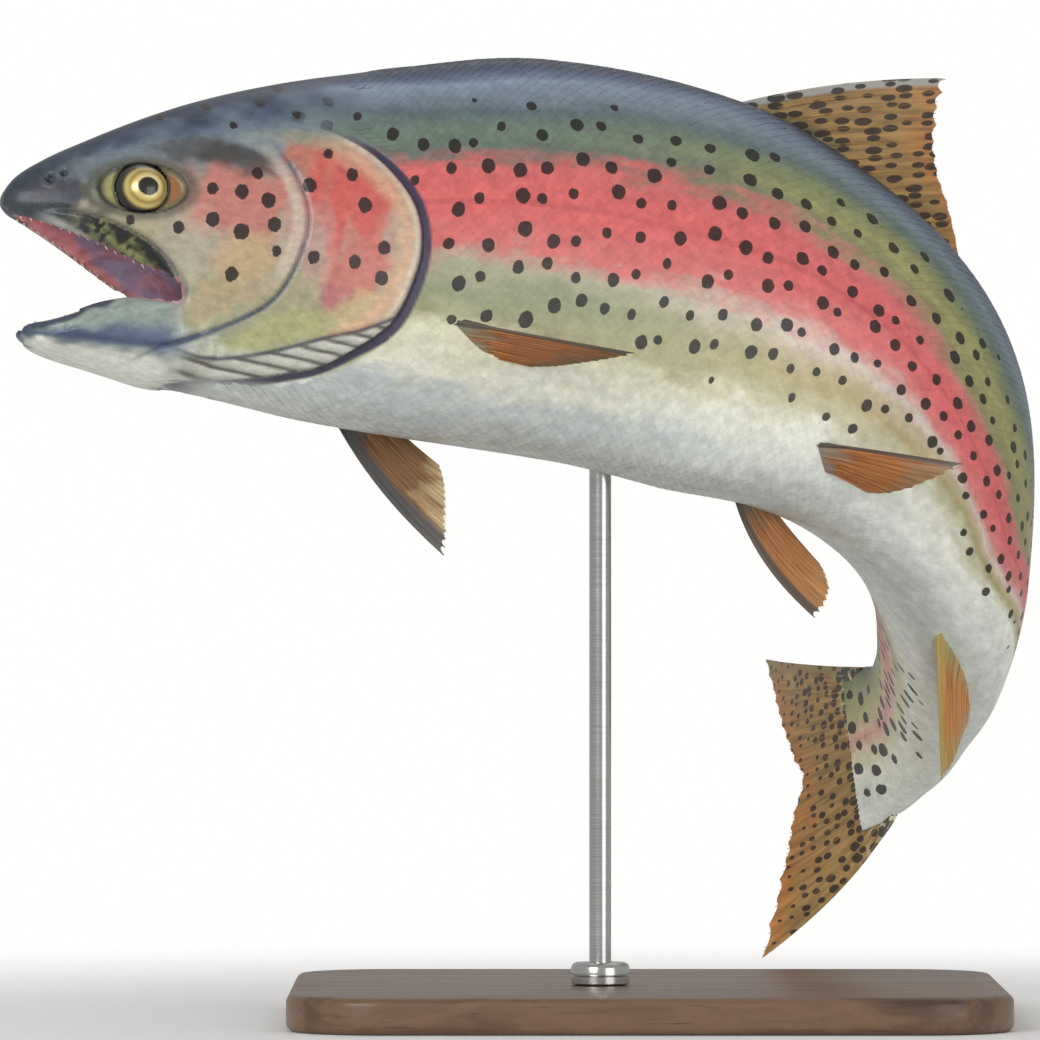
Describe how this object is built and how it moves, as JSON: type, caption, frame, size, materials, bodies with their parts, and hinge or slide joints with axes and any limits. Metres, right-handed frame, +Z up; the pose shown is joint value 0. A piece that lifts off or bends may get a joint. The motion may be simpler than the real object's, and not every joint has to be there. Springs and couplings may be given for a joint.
{
  "type": "rainbow trout",
  "caption": "Life-size rainbow trout arched as in a leap, mouth open and tail swung round, held over a flat display base by a slim rod.",
  "frame": {"origin": "centre of the stand base's underside", "axes": "+Z up, the fish looks towards -X, its left side faces -Y"},
  "size_m": [0.2841, 0.3161, 0.2639],
  "materials": {
    "skin": "wet scaled skin: navy back, green side, rose stripe, white belly, black spots",
    "jaw": "wet smooth skin over bone, olive and slate",
    "mouth": "wet pink flesh",
    "fin": "rayed translucent web, orange-brown with dark spots",
    "eye": "clear glossy eye with a golden ring and a black pupil",
    "stand_wood": "dark walnut, satin lacquer",
    "stand_steel": "brushed steel"
  },
  "bodies": {
    "root": {"head": "skin", "gill_cover_left": "skin", "gill_cover_right": "skin", "maxilla_left": "jaw", "maxilla_right": "jaw", "lower_jaw": "jaw", "tongue": "mouth", "eye_left": "eye", "eye_right": "eye", "trunk_front": "skin", "trunk_middle": "skin", "trunk_rear": "skin", "tail_stock": "skin", "dorsal_fin": "fin", "adipose_fin": "fin", "anal_fin": "fin", "pectoral_fin_left": "fin", "pectoral_fin_right": "fin", "pelvic_fin_left": "fin", "pelvic_fin_right": "fin", "caudal_fin_upper": "fin", "caudal_fin_lower": "fin", "stand_base": "stand_wood", "stand_collar": "stand_steel", "stand_rod": "stand_steel"}
  },
  "joints": []
}
